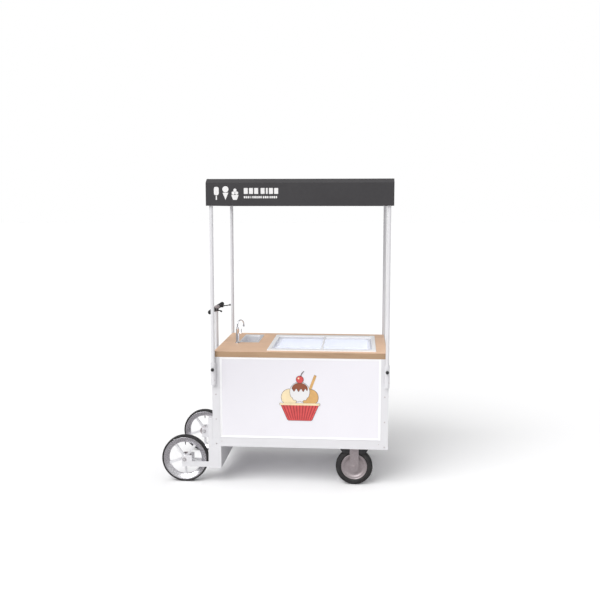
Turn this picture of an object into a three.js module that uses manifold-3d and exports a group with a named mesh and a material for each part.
// Push vending cart: a two-door cabinet with a wooden worktop, a sliding-lid freezer and a hand-wash
// sink, under a canopy on four telescoping poles. It rolls on two fixed spoked wheels at the handle end
// and two swivel casters at the other. Millimetres, +Z up, +X along the cart away from the handle,
// -Y towards the customer.
import * as THREE from 'three';
import { mergeVertices } from 'three/addons/utils/BufferGeometryUtils.js';
import Module from 'manifold-3d';

const wasm = await Module();
wasm.setup();

// ---------------------------------------------------------------- driving dimensions
const GAP = 0.3; // clearance between pieces that touch or pass each other

const body = { length: 1184, depth: 790, bottom: 263, railHeight: 60, worktopUnderside: 879 };
const sheet = { thin: 2, thick: 3 };
const post = { leg: 51 };
const worktop = { length: 1160, thickness: 38, cornerRadius: 12 };
const pole = { radius: 12, wall: 1.5, bottom: 704, top: 1990, spacingX: 1160 };
const sleeve = { radius: 16.5, boreRadius: 12.6, bottom: 690, top: 842 };
const knob = { radius: 12, length: 20, height: 799, studRadius: 4 };
const canopy = { length: 1220, depth: 870, bottom: 1886, eaves: 2034, roof: 2060, chamfer: 40, skin: 4 };
const wheel = { radius: 160.5, width: 50, x: -793.5, y: 343, rimRadius: 149, segments: 40 };
const caster = { radius: 125, width: 50, x: 367, y: 326, rimRadius: 88, trail: 40, segments: 36 };
const carrier = { left: -623, right: -535, bottom: 108, uprightTop: 458, wall: 4 };
const freezer = {
  centreX: 140.5, centreY: -22, length: 735, depth: 638, rimHeight: 6, wellBottom: 470, wall: 40,
};
const sink = { left: -465, right: -322, front: -25, back: 322, flange: 2, bowlDepth: 125 };
const faucet = { x: -468, y: -62, columnTop: 1022, apex: 1084 };
const handle = { x: -630, postRadius: 13, postBottom: 505, barHeight: 1160, barRadius: 11, barLength: 494 };

// Values that follow from them
const halfLength = body.length / 2;
const halfDepth = body.depth / 2;
const floorTop = body.bottom + body.railHeight;
const worktopTop = body.worktopUnderside + worktop.thickness;
const poleX = pole.spacingX / 2;
const poleY = halfDepth + sleeve.radius;
const sides = { left: -1, right: 1 };
const faces = { front: -1, back: 1 };

// ---------------------------------------------------------------- solids
// A closed three.js geometry as a manifold solid: shared points merged, slivers of no area dropped.
function solid(geometry) {
  const bare = geometry.clone();
  bare.deleteAttribute('normal');
  bare.deleteAttribute('uv');
  const merged = mergeVertices(bare, 1e-4);
  const index = merged.index.array;
  const triangles = [];
  for (let i = 0; i < index.length; i += 3) {
    const [a, b, c] = [index[i], index[i + 1], index[i + 2]];
    if (a !== b && b !== c && c !== a) triangles.push(a, b, c);
  }
  return new wasm.Manifold(new wasm.Mesh({
    numProp: 3,
    vertProperties: new Float32Array(merged.attributes.position.array),
    triVerts: new Uint32Array(triangles),
  }));
}

function geometryOf(manifold) {
  const mesh = manifold.getMesh();
  const geometry = new THREE.BufferGeometry();
  geometry.setAttribute('position', new THREE.BufferAttribute(new Float32Array(mesh.vertProperties), 3));
  geometry.setIndex(new THREE.BufferAttribute(new Uint32Array(mesh.triVerts), 1));
  geometry.computeVertexNormals();
  return geometry;
}

const join = (first, ...others) => others.reduce((whole, next) => whole.add(next), first);
const cut = (first, ...others) => others.reduce((rest, next) => rest.subtract(next), first);

// A box between two values on each axis
function block([x0, x1], [y0, y1], [z0, z1]) {
  const geometry = new THREE.BoxGeometry(x1 - x0, y1 - y0, z1 - z0);
  return solid(geometry.translate((x0 + x1) / 2, (y0 + y1) / 2, (z0 + z1) / 2));
}

// A straight extrusion of an outline drawn in the X-Y plane, between two heights
function extrudeUp(shape, z0, z1, curveSegments = 6) {
  const options = { depth: z1 - z0, bevelEnabled: false, curveSegments };
  return solid(new THREE.ExtrudeGeometry(shape, options).translate(0, 0, z0));
}

// The same for an outline drawn in the X-Z plane, between two values of Y
function extrudeAcross(shape, y0, y1, curveSegments = 6) {
  const options = { depth: y1 - y0, bevelEnabled: false, curveSegments };
  return solid(new THREE.ExtrudeGeometry(shape, options).rotateX(Math.PI / 2).translate(0, y1, 0));
}

// The same for an outline drawn in the Y-Z plane, between two values of X
function extrudeAlong(shape, x0, x1) {
  const options = { depth: x1 - x0, bevelEnabled: false };
  const geometry = new THREE.ExtrudeGeometry(shape, options).rotateX(Math.PI / 2).rotateZ(Math.PI / 2);
  return solid(geometry.translate(x0, 0, 0));
}

function outline(points) {
  return new THREE.Shape(points.map(([u, v]) => new THREE.Vector2(u, v)));
}

function roundedRectangle(x0, x1, y0, y1, radius) {
  const shape = new THREE.Shape();
  shape.moveTo(x0 + radius, y0);
  shape.lineTo(x1 - radius, y0).absarc(x1 - radius, y0 + radius, radius, -Math.PI / 2, 0);
  shape.lineTo(x1, y1 - radius).absarc(x1 - radius, y1 - radius, radius, 0, Math.PI / 2);
  shape.lineTo(x0 + radius, y1).absarc(x0 + radius, y1 - radius, radius, Math.PI / 2, Math.PI);
  shape.lineTo(x0, y0 + radius).absarc(x0 + radius, y0 + radius, radius, Math.PI, 1.5 * Math.PI);
  return shape;
}

// A solid turned about the Y axis from [radius, y] pairs in a closed loop. A flat facet, not an edge,
// points straight down, so that a wheel stands on a real face.
function turnAcross(profile, segments) {
  const points = [...profile, profile[0]].map(([r, y]) => new THREE.Vector2(r, y));
  return solid(new THREE.LatheGeometry(points, segments, Math.PI / segments));
}

// The same about the Z axis, from [radius, z] pairs
function turnUp(profile, segments = 24) {
  const points = [...profile, profile[0]].map(([r, z]) => new THREE.Vector2(r, z));
  return solid(new THREE.LatheGeometry(points, segments).rotateX(Math.PI / 2));
}

const pinUp = (radius, z0, z1, segments = 20) =>
  turnUp([[0, z0], [radius, z0], [radius, z1], [0, z1]], segments);
const pinAcross = (radius, y0, y1, segments = 20) =>
  turnAcross([[0, y0], [radius, y0], [radius, y1], [0, y1]], segments);
// The widest radius of a turned solid whose flats lie at the given radius
const overFlats = (radius, segments) => radius / Math.cos(Math.PI / segments);

// ---------------------------------------------------------------- materials
const paint = (color, roughness = 0.4, metalness = 0) => ({ color, roughness, metalness });
const finishes = {
  white_paint: paint(0xe6e4e8),
  panel_white: paint(0xeceaef, 0.35),
  wood: paint(0xd0a67e, 0.5),
  liner_white: paint(0xf2f2f4, 0.3),
  glass: paint(0xdbdfea, 0.05),
  steel: paint(0xb7b5c0, 0.3, 0.9),
  chrome: paint(0xd8d8da, 0.1, 1),
  zinc: paint(0xa09496, 0.45, 0.8),
  black: paint(0x24221f, 0.5),
  rubber: paint(0x2b2a2b, 0.8),
  rim_silver: paint(0xe8e6ea, 0.25, 0.6),
  canopy_grey: paint(0x474547, 0.7),
  tank: paint(0xe9ecee, 0.5),
};

const cart = new THREE.Group();

function add(name, finish, manifold, position = [0, 0, 0]) {
  const mesh = new THREE.Mesh(geometryOf(manifold), new THREE.MeshStandardMaterial(finishes[finish]));
  mesh.name = name;
  mesh.position.set(...position);
  cart.add(mesh);
}

// ---------------------------------------------------------------- cabinet
const rail = { width: 25, bridgeFrom: 332, bridgeTo: 482 };

// A ring of channels that open inwards, with a bridge plate across the top for the casters
function baseFrame() {
  const { width, bridgeFrom, bridgeTo } = rail;
  const ring = block([-halfLength, halfLength], [-halfDepth, halfDepth], [body.bottom, floorTop]);
  const inner = block([-halfLength + width, halfLength - width], [-halfDepth + width, halfDepth - width],
    [body.bottom - 1, floorTop + 1]);
  const channel = block([-halfLength + sheet.thick, halfLength - sheet.thick],
    [-halfDepth + sheet.thick, halfDepth - sheet.thick], [body.bottom + sheet.thick, floorTop - sheet.thick]);
  const bridge = block([bridgeFrom, bridgeTo], [-halfDepth + 1, halfDepth - 1],
    [floorTop - 2 * sheet.thick, floorTop]);
  return join(cut(ring, inner, channel), bridge);
}
add('base_frame', 'white_paint', baseFrame());
add('floor_panel', 'panel_white', block([-halfLength + sheet.thick + GAP, halfLength - sheet.thick - GAP],
  [-halfDepth + sheet.thick + GAP, halfDepth - sheet.thick - GAP], [floorTop, floorTop + sheet.thin]));

// A folded steel angle at each corner of the cabinet
function cornerPost(side, face) {
  const leg = post.leg;
  const x = side * halfLength;
  const y = face * halfDepth;
  const shape = outline([[0, 0], [leg, 0], [leg, sheet.thick], [sheet.thick, sheet.thick], [sheet.thick, leg],
    [0, leg]]);
  const angle = extrudeUp(shape, floorTop, body.worktopUnderside);
  const quarterTurns = { '-1,-1': 0, '1,-1': 1, '1,1': 2, '-1,1': 3 }[`${side},${face}`];
  return angle.rotate([0, 0, 90 * quarterTurns]).translate([x, y, 0]);
}
for (const [face, ySign] of Object.entries(faces)) {
  for (const [side, xSign] of Object.entries(sides)) {
    add(`corner_post_${face}_${side}`, 'white_paint', cornerPost(xSign, ySign));
  }
}

// A panel with a border that slopes in to a recessed field. u runs along the panel, v is up, and depth
// counts inwards from the outer face.
const panel = { setback: 1, border: 14, recess: 6, thickness: 8 };

function frustum(u0, u1, v0, v1, slope, depth) {
  const corners = (inset, w) => [[u0 + inset, v0 + inset, w], [u1 - inset, v0 + inset, w],
    [u1 - inset, v1 - inset, w], [u0 + inset, v1 - inset, w]];
  const outer = corners(-slope * 0.5, -depth * 0.5);
  const inner = corners(slope, depth);
  const quads = [[3, 2, 1, 0], [4, 5, 6, 7], [0, 1, 5, 4], [1, 2, 6, 5], [2, 3, 7, 6], [3, 0, 4, 7]];
  const geometry = new THREE.BufferGeometry();
  geometry.setAttribute('position', new THREE.Float32BufferAttribute([...outer, ...inner].flat(), 3));
  geometry.setIndex(quads.flatMap(([a, b, c, d]) => [a, b, c, a, c, d]));
  return solid(geometry);
}

function recessedPanel(halfWidth, bottom, top) {
  const plate = block([-halfWidth, halfWidth], [bottom, top], [0, panel.thickness]);
  return cut(plate, frustum(-halfWidth, halfWidth, bottom, top, panel.border, panel.recess));
}

const panelBottom = floorTop + sheet.thin + GAP;
const panelTop = body.worktopUnderside - GAP;
const panelHalfLength = halfLength - post.leg - GAP;
const panelHalfDepth = halfDepth - post.leg - GAP;

add('front_panel', 'panel_white', recessedPanel(panelHalfLength, panelBottom, panelTop)
  .rotate([90, 0, 0]).rotate([0, 0, 180]).scale([-1, 1, 1]).translate([0, -halfDepth + panel.setback, 0]));

function sidePanel(side) {
  const flat = recessedPanel(panelHalfDepth, panelBottom, panelTop);
  const upright = flat.rotate([90, 0, 90]);
  const facing = side < 0 ? upright : upright.rotate([0, 0, 180]);
  return facing.translate([side * (halfLength - panel.setback), 0, 0]);
}
add('left_panel', 'panel_white', sidePanel(sides.left));

// Slots that let the compressor's warm air out of the right side
const vent = { slots: 7, pitch: 24, height: 10, halfLength: 110, centreY: 180, bottom: 372 };
const ventSlots = Array.from({ length: vent.slots }, (_, i) => {
  const z = vent.bottom + i * vent.pitch;
  return block([halfLength - 30, halfLength + 10],
    [vent.centreY - vent.halfLength, vent.centreY + vent.halfLength], [z, z + vent.height]);
});
add('right_panel', 'panel_white', cut(sidePanel(sides.right), ...ventSlots));

// Two doors close the operator's side. Each is a folded tray on a barrel hinge beside its corner post.
const door = { thickness: 20, bottom: floorTop + 5, top: body.worktopUnderside - 5, middleGap: 4 };
const hinge = { radius: 3.7, x: halfLength - post.leg, y: halfDepth + 4, height: 70, inset: 70 };

function backDoor(side) {
  const outerEdge = side * (hinge.x - 1);
  const middleEdge = side * door.middleGap / 2;
  const [x0, x1] = [outerEdge, middleEdge].sort((a, b) => a - b);
  const y1 = halfDepth - 1;
  const tray = cut(
    block([x0, x1], [y1 - door.thickness, y1], [door.bottom, door.top]),
    block([x0 + sheet.thin, x1 - sheet.thin], [y1 - door.thickness - 1, y1 - sheet.thin],
      [door.bottom + sheet.thin, door.top - sheet.thin]));
  const knuckles = [door.bottom + hinge.inset, door.top - hinge.inset - hinge.height].flatMap((z) => {
    const barrel = pinUp(hinge.radius, z, z + hinge.height, 16).translate([side * hinge.x, hinge.y, 0]);
    const leafEdges = [side * (hinge.x - 2), side * (hinge.x - 16)].sort((a, b) => a - b);
    const leaf = block(leafEdges, [y1 - 1, hinge.y - 0.5], [z, z + hinge.height]);
    return [barrel, leaf];
  });
  return join(tray, ...knuckles);
}
add('door_left', 'panel_white', backDoor(sides.left));
add('door_right', 'panel_white', backDoor(sides.right));

// ---------------------------------------------------------------- worktop, freezer and sink
const well = {
  left: freezer.centreX - freezer.length / 2 + 15,
  right: freezer.centreX + freezer.length / 2 - 15,
  front: freezer.centreY - freezer.depth / 2 + 15,
  back: freezer.centreY + freezer.depth / 2 - 15,
};
const bowl = { left: sink.left + 13, right: sink.right - 18, front: sink.front + 50, back: sink.back - 50 };

const cutout = ({ left, right, front, back }, margin, z0, z1) =>
  block([left - margin, right + margin], [front - margin, back + margin], [z0, z1]);

const board = extrudeUp(roundedRectangle(-worktop.length / 2, worktop.length / 2, -halfDepth, halfDepth,
  worktop.cornerRadius), body.worktopUnderside, worktopTop);

const rim = {
  left: freezer.centreX - freezer.length / 2,
  right: freezer.centreX + freezer.length / 2,
  front: freezer.centreY - freezer.depth / 2,
  back: freezer.centreY + freezer.depth / 2,
};
// The freezer's rim and the sink's flange each sit in a shallow rebate around their cut-out
const rebateFloor = worktopTop - 1.5;
add('worktop', 'wood', cut(board,
  cutout(well, 1, body.worktopUnderside - 1, worktopTop + 1),
  cutout(rim, GAP, rebateFloor, worktopTop + 1),
  cutout(bowl, 1, body.worktopUnderside - 1, worktopTop + 1),
  cutout(sink, GAP, rebateFloor, worktopTop + 1)));

const skirtBottom = worktopTop - 14;
add('freezer_liner', 'liner_white', cut(
  cutout(well, 0, freezer.wellBottom, skirtBottom - GAP),
  cutout(well, -freezer.wall, freezer.wellBottom + freezer.wall, skirtBottom + 1)));

// The rim frames the well. Its skirt reaches down into the cut-out, and its pocket carries the two lids
// on two levels.
const pocket = { left: rim.left + 28, right: rim.right - 28, front: rim.front + 60, back: rim.back - 60 };
const lid = { ledge: 10, glass: 5, overlap: 16, lowerBottom: worktopTop - 10, upperBottom: worktopTop - 4 };
const upperStep = 6;

add('freezer_rim', 'liner_white', cut(
  join(
    cutout(rim, 0, rebateFloor, worktopTop + freezer.rimHeight),
    cutout(well, 0, skirtBottom, rebateFloor + 1)),
  cutout(pocket, 0, lid.upperBottom - GAP, worktopTop + freezer.rimHeight + 1),
  block([pocket.left, pocket.right], [pocket.front + upperStep, pocket.back - upperStep],
    [lid.lowerBottom, lid.upperBottom]),
  block([pocket.left + lid.ledge, pocket.right - lid.ledge],
    [pocket.front + upperStep + lid.ledge, pocket.back - upperStep - lid.ledge],
    [skirtBottom - 1, lid.lowerBottom + 1])));

const lidMiddle = (pocket.left + pocket.right) / 2;
add('lid_glass_left', 'glass', block([pocket.left + GAP, lidMiddle + lid.overlap / 2],
  [pocket.front + GAP, pocket.back - GAP], [lid.upperBottom, lid.upperBottom + lid.glass]));
add('lid_glass_right', 'glass', block([lidMiddle - lid.overlap / 2, pocket.right - GAP],
  [pocket.front + upperStep + GAP, pocket.back - upperStep - GAP],
  [lid.lowerBottom + GAP, lid.lowerBottom + GAP + lid.glass]));

// The sealed compressor pot stands on the floor below the well
const compressor = { x: 400, y: 190, radius: 78, shoulder: 90, height: 125 };
const compressorProfile = [[0, 0], [compressor.radius + 14, 0], [compressor.radius + 14, 4],
  [compressor.radius, 4], [compressor.radius, compressor.shoulder],
  [compressor.radius - 14, compressor.height - 10], [30, compressor.height], [0, compressor.height]];
add('compressor', 'black', turnUp(compressorProfile, 24),
  [compressor.x, compressor.y, floorTop + sheet.thin]);

// The bowl hangs in its cut-out by a flange and drains through a short tailpiece
function sinkBasin() {
  const bottom = worktopTop - sink.bowlDepth;
  const drainX = (bowl.left + bowl.right) / 2;
  const drainY = (bowl.front + bowl.back) / 2;
  const flangeTop = rebateFloor + sink.flange;
  const flange = cutout(sink, 0, rebateFloor, flangeTop);
  const tail = pinUp(22, bottom - 50, bottom + 1).translate([drainX, drainY, 0]);
  const shell = join(flange, cutout(bowl, 0, bottom, rebateFloor + 1), tail);
  const drain = pinUp(18, bottom - 51, bottom + 3).translate([drainX, drainY, 0]);
  return cut(shell, cutout(bowl, -sheet.thin, bottom + sheet.thin, flangeTop + 1), drain);
}
add('sink_basin', 'steel', sinkBasin());

// A fresh-water and a waste-water can stand under the sink
const can = { width: 165, depth: 250, height: 300, x: -475, capRadius: 24, capHeight: 22 };

function waterCan() {
  const shape = roundedRectangle(-can.width / 2, can.width / 2, -can.depth / 2, can.depth / 2, 25);
  const cap = pinUp(can.capRadius, can.height - 1, can.height + can.capHeight, 16);
  return join(extrudeUp(shape, 0, can.height, 4), cap.translate([0, can.depth / 4, 0]));
}
add('fresh_water_can', 'tank', waterCan(), [can.x, -180, floorTop + sheet.thin]);
add('waste_water_can', 'tank', waterCan(), [can.x, 150, floorTop + sheet.thin]);

// ---------------------------------------------------------------- faucet
const lever = { height: 988, stubRadius: 6, stubEnd: 31, rodRadius: 3, rodTop: 1020 };

const faucetColumn = turnUp([[0, worktopTop], [18, worktopTop], [18, worktopTop + 4], [12, worktopTop + 12],
  [11, faucet.columnTop - GAP], [0, faucet.columnTop - GAP]]);
add('faucet_body', 'chrome', faucetColumn, [faucet.x, faucet.y, 0]);

// The spout is one bent tube on a collar that turns on the column
class SpoutPath extends THREE.CurvePath {
  constructor(bottom, apex, reach, drop) {
    super();
    const bend = reach / 2;
    const up = apex - bend;
    this.add(new THREE.LineCurve3(new THREE.Vector3(0, 0, bottom), new THREE.Vector3(0, 0, up)));
    const arch = [new THREE.Vector3(0, 0, up), new THREE.Vector3(0, 0, apex + bend * 0.3),
      new THREE.Vector3(reach, 0, apex + bend * 0.3), new THREE.Vector3(reach, 0, up)];
    this.add(new THREE.CubicBezierCurve3(...arch));
    this.add(new THREE.LineCurve3(arch[3], new THREE.Vector3(reach, 0, up - drop)));
  }
}
const spout = { radius: 4.5, reach: 64, drop: 2, heading: 55, nozzleLength: 16, nozzleRadius: 6.5 };

function faucetSpout() {
  const section = new THREE.Shape().absarc(0, 0, spout.radius, 0, 2 * Math.PI);
  const path = new SpoutPath(faucet.columnTop + 2, faucet.apex - spout.radius, spout.reach, spout.drop);
  const tube = solid(new THREE.ExtrudeGeometry(section, { steps: 36, curveSegments: 5, extrudePath: path }));
  const collar = pinUp(8.5, faucet.columnTop, faucet.columnTop + 8, 20);
  const nozzleTop = faucet.apex - spout.radius - spout.reach / 2 - spout.drop + 4;
  const nozzleBottom = nozzleTop - spout.nozzleLength;
  const nozzle = turnUp([[0, nozzleBottom], [spout.nozzleRadius, nozzleBottom],
    [spout.nozzleRadius, nozzleTop - 6], [spout.radius + 0.5, nozzleTop], [0, nozzleTop]], 16);
  return join(collar, tube, nozzle.translate([spout.reach, 0, 0])).rotate([0, 0, spout.heading]);
}
add('faucet_spout', 'chrome', faucetSpout(), [faucet.x, faucet.y, 0]);

// The lever turns on a stub at the side of the column
function faucetLever() {
  const columnSide = 11.6 + GAP;
  const stub = pinAcross(lever.stubRadius, columnSide, lever.stubEnd, 16).rotate([0, 0, -90]);
  const rod = pinUp(lever.rodRadius, 0, lever.rodTop - lever.height, 12).translate([lever.stubEnd - 4, 0, 0]);
  return join(stub, rod);
}
add('faucet_lever', 'chrome', faucetLever(), [faucet.x, faucet.y, lever.height]);

// ---------------------------------------------------------------- poles, sleeves and knobs
const studHole = knob.studRadius + 0.5;

function poleSleeve(face) {
  const tube = pinUp(sleeve.radius, sleeve.bottom, sleeve.top, 28);
  const [y0, y1] = [0, -face * sleeve.radius].sort((a, b) => a - b);
  const web = block([-8, 8], [y0, y1], [sleeve.bottom, sleeve.top]);
  const bore = pinUp(sleeve.boreRadius, sleeve.bottom - 1, sleeve.top + 1, 28);
  const [s0, s1] = [0, face * (sleeve.radius + 1)].sort((a, b) => a - b);
  const stud = pinAcross(studHole, s0, s1, 16).translate([0, 0, knob.height]);
  return cut(join(tube, web), bore, stud);
}

// A moulded grip on a threaded stud that presses on the pole through the sleeve
function clampKnob(face) {
  const gripFrom = sleeve.radius + 2;
  const profile = [[0, pole.radius + GAP], [knob.studRadius, pole.radius + GAP], [knob.studRadius, gripFrom],
    [knob.radius - 3, gripFrom], [knob.radius, gripFrom + 4], [knob.radius, gripFrom + knob.length - 4],
    [knob.radius - 3, gripFrom + knob.length], [0, gripFrom + knob.length]];
  return turnAcross(profile, 20).rotate([0, 0, face < 0 ? 180 : 0]);
}

// An open tube from inside the sleeve up into the canopy's corner socket
function canopyPole() {
  const hollow = pinUp(pole.radius - pole.wall, pole.bottom - 1, pole.top + 1, 20);
  return cut(pinUp(pole.radius, pole.bottom, pole.top, 20), hollow);
}

for (const [face, ySign] of Object.entries(faces)) {
  for (const [side, xSign] of Object.entries(sides)) {
    const place = [xSign * poleX, ySign * poleY, 0];
    add(`pole_sleeve_${face}_${side}`, 'white_paint', poleSleeve(ySign), place);
    add(`clamp_knob_${face}_${side}`, 'black', clampKnob(ySign), [place[0], place[1], knob.height]);
    add(`pole_${face}_${side}`, 'white_paint', canopyPole(), place);
  }
}

// ---------------------------------------------------------------- canopy
const canopyHalfLength = canopy.length / 2;
const canopyHalfDepth = canopy.depth / 2;
const frameBar = { lower: 1900, upper: 2010, width: 20, thickness: 3, bows: [-1 / 3, 1 / 3] };
const socket = { radius: 15, boreRadius: pole.radius + GAP, bottom: 1892, top: 1996 };

// A box skirt with its top front and back edges sloped, drawn as its Y-Z section
function canopySection(inset, bottom) {
  const y = canopyHalfDepth - inset;
  const flat = canopyHalfDepth - canopy.chamfer - inset * 0.45;
  return outline([[-y, bottom], [y, bottom], [y, canopy.eaves - inset * 0.3], [flat, canopy.roof - inset],
    [-flat, canopy.roof - inset], [-y, canopy.eaves - inset * 0.3]]);
}
add('canopy_cover', 'canopy_grey', cut(
  extrudeAlong(canopySection(0, canopy.bottom), -canopyHalfLength, canopyHalfLength),
  extrudeAlong(canopySection(canopy.skin, canopy.bottom - 1), -canopyHalfLength + canopy.skin,
    canopyHalfLength - canopy.skin)));

// A lower and an upper ring of flat bar on edge, four corner sockets and two roof bows
function canopyFrame() {
  const { width, thickness } = frameBar;
  const outerX = canopyHalfLength - canopy.skin - 2;
  const outerY = canopyHalfDepth - canopy.skin - 2;
  const ring = (z) => cut(
    block([-outerX, outerX], [-outerY, outerY], [z, z + width]),
    block([-outerX + thickness, outerX - thickness], [-outerY + thickness, outerY - thickness],
      [z - 1, z + width + 1]));
  const bows = frameBar.bows.map((share) => {
    const x = share * outerX;
    return block([x - width / 2, x + width / 2], [-outerY + 1, outerY - 1],
      [frameBar.upper + width - thickness - 1, frameBar.upper + width - 1]);
  });
  const corners = Object.values(sides).flatMap((side) => Object.values(faces).map((face) => {
    const holder = pinUp(socket.radius, socket.bottom, socket.top, 24);
    const [g0, g1] = [0, side * (outerX - poleX - 1)].sort((a, b) => a - b);
    const gusset = block([g0, g1], [-thickness, thickness], [frameBar.lower + 1, frameBar.upper + width - 1]);
    return join(holder, gusset).translate([side * poleX, face * poleY, 0]);
  }));
  const bore = pinUp(socket.boreRadius, socket.bottom - 1, pole.top + GAP, 20);
  const bores = Object.values(sides).flatMap((side) =>
    Object.values(faces).map((face) => bore.translate([side * poleX, face * poleY, 0])));
  return cut(join(ring(frameBar.lower), ring(frameBar.upper), ...bows, ...corners), ...bores);
}
add('canopy_frame', 'white_paint', canopyFrame());

// ---------------------------------------------------------------- fixed wheels at the handle end
// A drop box across the cart under the handle end, with an upright up each corner of the cabinet
const upright = { width: 50, wall: 4 };

function axleCarrier() {
  const { left, right, bottom, wall } = carrier;
  const box = cut(
    block([left, right], [-halfDepth, halfDepth], [bottom, body.bottom]),
    block([left + wall, right - wall], [-halfDepth + wall, halfDepth - wall],
      [bottom + wall, body.bottom + 1]));
  const uprights = Object.values(faces).map((face) => {
    const [y0, y1] = [face * halfDepth, face * (halfDepth - upright.width)].sort((a, b) => a - b);
    return cut(
      block([left, -halfLength - GAP], [y0, y1], [body.bottom - upright.wall, carrier.uprightTop]),
      block([left + upright.wall, -halfLength + 1], [y0 + upright.wall, y1 - upright.wall],
        [body.bottom + upright.wall, carrier.uprightTop - upright.wall]));
  });
  return join(box, ...uprights);
}
add('axle_carrier', 'white_paint', axleCarrier());

// Two arms and the axle they hold, on a foot plate against the drop box. Each arm ends in a taller plate
// around the axle.
const arm = {
  thickness: 8, bottom: 111, top: 148, hubTop: 189, hubHalfWidth: 18, hubEnd: -741, gap: 8, foot: 6,
};
const axleRadius = 6;

function wheelFork() {
  const z = (height) => height - wheel.radius;
  const x = (place) => place - wheel.x;
  const hubLeft = -arm.hubHalfWidth;
  const profile = outline([[hubLeft, z(arm.bottom)], [x(carrier.left) - GAP, z(arm.bottom)],
    [x(carrier.left) - GAP, z(arm.top)], [x(arm.hubEnd), z(arm.top)], [x(arm.hubEnd), z(arm.hubTop)],
    [hubLeft, z(arm.hubTop)]]);
  const near = wheel.width / 2 + arm.gap;
  const far = near + arm.thickness;
  const footRight = x(carrier.left) - GAP;
  const foot = block([footRight - arm.foot, footRight], [-far, far], [z(arm.bottom), z(arm.top)]);
  const axle = pinAcross(axleRadius, -far - 8, far + 8, 16);
  const nuts = [pinAcross(11, -far - 6, -far, 6), pinAcross(11, far, far + 6, 6)];
  return join(extrudeAcross(profile, -far, -near), extrudeAcross(profile, near, far), foot, axle, ...nuts);
}

// The tyre is a thin solid band with rounded shoulders around the rim
function wheelTyre() {
  const half = wheel.width / 2;
  const crown = overFlats(wheel.radius, wheel.segments);
  const seat = overFlats(wheel.rimRadius, wheel.segments) + GAP;
  return turnAcross([[seat, -half + 2], [crown - 3, -half], [crown, -half + 4], [crown, half - 4],
    [crown - 3, half], [seat, half - 2]], wheel.segments);
}

// A deep rim: a sloping band on each side, a well between them, five spokes and a hub
function wheelRim() {
  const outer = overFlats(wheel.rimRadius, wheel.segments);
  const spokeCircle = 114;
  const band = turnAcross([[outer, -23], [outer, 23], [outer - 5, 23], [spokeCircle, 10], [spokeCircle, -10],
    [outer - 5, -23]], wheel.segments);
  const spokes = Array.from({ length: 5 }, (_, i) => {
    const shape = outline([[-13, 20], [13, 20], [9, spokeCircle + 3], [-9, spokeCircle + 3]]);
    return extrudeAcross(shape, -8, 8).rotate([0, 36 + 72 * i, 0]);
  });
  const hub = pinAcross(27, -30, 30, 28);
  return cut(join(band, hub, ...spokes), pinAcross(axleRadius + GAP, -31, 31, 16));
}

for (const [face, ySign] of Object.entries(faces)) {
  const place = [wheel.x, ySign * wheel.y, wheel.radius];
  add(`wheel_fork_${face}`, 'white_paint', wheelFork(), place);
  add(`wheel_rim_${face}`, 'rim_silver', wheelRim(), place);
  add(`wheel_tyre_${face}`, 'rubber', wheelTyre(), place);
}

// ---------------------------------------------------------------- brakes
// A drum housing on the inner arm of each fixed wheel, around the hub's end
const drum = { outerRadius: 33, boreRadius: 29, length: 7 };

function brakeDrum(face) {
  const armFace = wheel.width / 2 + arm.gap - GAP;
  const inward = -face;
  const y = [inward * (armFace - drum.length), inward * armFace].sort((a, b) => a - b);
  const backY = [inward * (armFace - 1.8), inward * armFace].sort((a, b) => a - b);
  const bore = pinAcross(drum.boreRadius, y[0] - 1, y[1] + 1, 24);
  const shell = cut(pinAcross(drum.outerRadius, ...y, 24), bore);
  const axleHole = pinAcross(axleRadius + 3, backY[0] - 1, backY[1] + 1, 16);
  return join(shell, cut(pinAcross(drum.outerRadius, ...backY, 24), axleHole));
}
for (const [face, ySign] of Object.entries(faces)) {
  add(`brake_drum_${face}`, 'zinc', brakeDrum(ySign), [wheel.x, ySign * wheel.y, wheel.radius]);
}

// ---------------------------------------------------------------- handle
const bracket = { halfWidth: 20, height: 34, heights: [520, 826], plate: 5 };
const sideFace = -halfLength + panel.setback + panel.recess;

function handlePost() {
  const tube = pinUp(handle.postRadius, handle.postBottom, handle.barHeight - handle.barRadius - 5, 24);
  const brackets = bracket.heights.flatMap((z) => {
    const reach = sideFace - GAP - handle.x;
    const arm = block([0, reach], [-6, 6], [z + 8, z + bracket.height - 8]);
    const plate = block([reach - bracket.plate, reach], [-bracket.halfWidth, bracket.halfWidth],
      [z, z + bracket.height]);
    const collar = pinUp(handle.postRadius + 4, z + 2, z + bracket.height - 2, 24);
    return [arm, plate, collar];
  });
  return join(tube, ...brackets);
}
add('handle_post', 'white_paint', handlePost(), [handle.x, 0, 0]);

// The bar, with the stem clamp that holds it on the post and the two brake lever mounts
const grip = { length: 120, radius: 16 };
const brake = { mountAt: 98, mountWidth: 22, pivotX: 27, pivotRadius: 5 };

function handlebar() {
  const half = handle.barLength / 2;
  const bar = pinAcross(handle.barRadius, -half, half, 24);
  const stem = pinAcross(18, -24, 24, 24);
  const socketCup = pinUp(17, -24, 0, 24);
  const postSeat = pinUp(handle.postRadius + GAP, -25, -handle.barRadius - 5 + GAP, 24);
  const mounts = [-1, 1].flatMap((end) => {
    const y = end * brake.mountAt;
    const ring = pinAcross(16, y - brake.mountWidth / 2, y + brake.mountWidth / 2, 20);
    const horn = block([8, brake.pivotX + 7], [y - 9, y + 9], [-8, 8]);
    const slot = block([brake.pivotX - 9, brake.pivotX + 8], [y - 10, y + 10], [-4 - GAP, 4 + GAP]);
    const pin = pinUp(2.5, -8, 8, 12).translate([brake.pivotX, y, 0]);
    return [{ ring, horn, slot, pin }];
  });
  const withHorns = join(bar, stem, socketCup, ...mounts.flatMap(({ ring, horn }) => [ring, horn]));
  return join(cut(withHorns, postSeat, ...mounts.map(({ slot }) => slot)), ...mounts.map(({ pin }) => pin));
}
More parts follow.
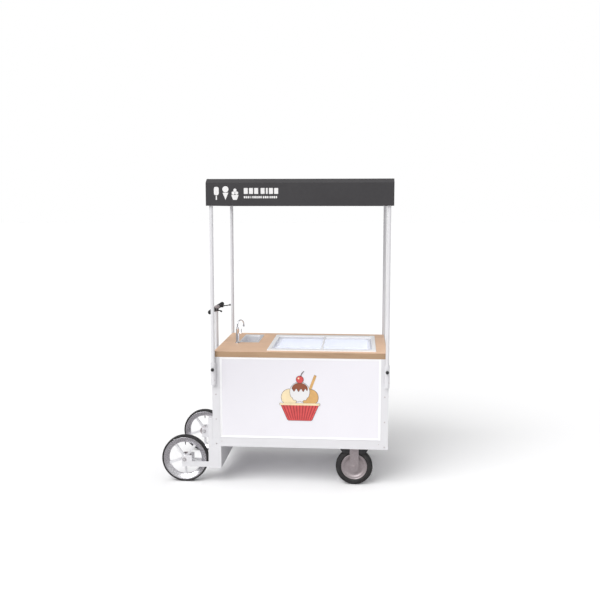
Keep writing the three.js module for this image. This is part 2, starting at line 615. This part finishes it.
add('handlebar', 'steel', handlebar(), [handle.x, 0, handle.barHeight]);

function gripSleeve(face) {
  const inner = face * (handle.barLength / 2 - grip.length);
  const outer = face * (handle.barLength / 2);
  const [y0, y1] = [inner, outer].sort((a, b) => a - b);
  return cut(pinAcross(grip.radius, y0, y1, 24), pinAcross(handle.barRadius + GAP, y0 - 1, y1 + 1, 24));
}

// A blade that curves away from the bar to a ball end, on a boss around the pivot pin
function brakeLever(face) {
  const blade = new THREE.Shape();
  blade.moveTo(-5, 0);
  blade.quadraticCurveTo(4, 34, 27, 52).lineTo(37, 84).lineTo(44, 82);
  blade.lineTo(35, 46).quadraticCurveTo(12, 26, 6, 0).lineTo(-5, 0);
  const flat = extrudeUp(blade, -4, 4, 6);
  const boss = pinUp(7, -4, 4, 20);
  const ball = solid(new THREE.SphereGeometry(7, 16, 10)).translate([41, 84, 0]);
  const whole = cut(join(flat, boss, ball), pinUp(2.5 + GAP, -5, 5, 12));
  return face < 0 ? whole.mirror([0, 1, 0]) : whole;
}

for (const [face, ySign] of Object.entries(faces)) {
  add(`handle_grip_${face}`, 'rubber', gripSleeve(ySign), [handle.x, 0, handle.barHeight]);
  add(`brake_lever_${face}`, 'black', brakeLever(ySign),
    [handle.x + brake.pivotX, ySign * brake.mountAt, handle.barHeight]);
}

// ---------------------------------------------------------------- casters
const casterPlate = { halfLength: 65, halfWidth: 52, thickness: 6, raceRadius: 38, raceBottom: 290 };
const crown = {
  halfLength: 103, halfWidth: 37, top: 262, bottom: 253, cheekBottom: 222, cheekHalfLength: 74, sheet: 4,
};
const forkLeg = { halfWidth: 30, thickness: 4 };
const swivelX = caster.x + caster.trail;

function casterTopPlate() {
  const { halfLength: length, halfWidth: width, thickness, raceRadius, raceBottom } = casterPlate;
  const top = floorTop - 2 * sheet.thick;
  const plate = extrudeUp(roundedRectangle(-length, length, -width, width, 10), top - thickness, top, 3);
  return join(plate, pinUp(raceRadius, raceBottom, top - thickness + 1, 28));
}

// Crown plate, a pressed cheek and a leg on each side of the wheel, neck and axle, about the axle's centre
function casterFork() {
  const z = (height) => height - caster.radius;
  const plate = block([-crown.halfLength, crown.halfLength], [-crown.halfWidth, crown.halfWidth],
    [z(crown.bottom), z(crown.top)]);
  const { halfLength: crownEnd, cheekHalfLength: cheekEnd } = crown;
  const cheekShape = outline([[-cheekEnd, z(crown.cheekBottom)], [cheekEnd, z(crown.cheekBottom)],
    [crownEnd - 6, z(crown.bottom) + 1], [-crownEnd + 6, z(crown.bottom) + 1]]);
  const legShape = new THREE.Shape();
  legShape.moveTo(-forkLeg.halfWidth, z(crown.top) - 1);
  legShape.lineTo(-forkLeg.halfWidth, 0).absarc(0, 0, forkLeg.halfWidth, Math.PI, 2 * Math.PI);
  legShape.lineTo(forkLeg.halfWidth, z(crown.top) - 1).lineTo(-forkLeg.halfWidth, z(crown.top) - 1);
  const walls = [-1, 1].flatMap((end) => {
    const span = (near, far) => [end * near, end * far].sort((a, b) => a - b);
    const cheek = extrudeAcross(cheekShape, ...span(crown.halfWidth - crown.sheet, crown.halfWidth));
    const legSpan = span(crown.halfWidth - 1, crown.halfWidth - 1 + forkLeg.thickness + 1);
    const nut = pinAcross(11, ...span(crown.halfWidth + 3, crown.halfWidth + 11), 6);
    return [cheek, extrudeAcross(legShape, ...legSpan, 10), nut];
  });
  const reach = crown.halfWidth + 3;
  const axle = pinAcross(8, -reach, reach, 16);
  const neck = pinUp(28, z(crown.top) - 1, z(casterPlate.raceBottom) - GAP, 24)
    .translate([caster.trail, 0, 0]);
  return join(plate, ...walls, axle, neck);
}

function casterTyre() {
  const half = caster.width / 2;
  const crownRadius = overFlats(caster.radius, caster.segments);
  const seat = overFlats(caster.rimRadius, caster.segments) + GAP;
  return turnAcross([[seat, -half + 4], [seat + 10, -half], [crownRadius - 9, -half],
    [crownRadius, -half + 10], [crownRadius, half - 10], [crownRadius - 9, half], [seat + 10, half],
    [seat, half - 4]], caster.segments);
}

// A pressed disc wheel: a rim lip on each side, a dished web and a hub
function casterRim() {
  const outer = overFlats(caster.rimRadius, caster.segments);
  return turnAcross([[8 + GAP, -30], [17, -30], [20, -12], [58, -8], [66, -18], [outer - 4, -21],
    [outer, -19], [outer, 19], [outer - 4, 21], [66, 18], [58, 8], [20, 12], [17, 30], [8 + GAP, 30]],
    caster.segments);
}

for (const [face, ySign] of Object.entries(faces)) {
  const axlePlace = [caster.x, ySign * caster.y, caster.radius];
  add(`caster_plate_${face}`, 'zinc', casterTopPlate(), [swivelX, ySign * caster.y, 0]);
  add(`caster_fork_${face}`, 'zinc', casterFork(), axlePlace);
  add(`caster_rim_${face}`, 'zinc', casterRim(), axlePlace);
  add(`caster_tyre_${face}`, 'rubber', casterTyre(), axlePlace);
}

// ---------------------------------------------------------------- origin
// The origin is on the ground under the middle of the overall length, wheels to canopy.
const leftmost = wheel.x - wheel.radius;
const rightmost = canopyHalfLength;
cart.position.x = -(leftmost + rightmost) / 2;

export default cart;
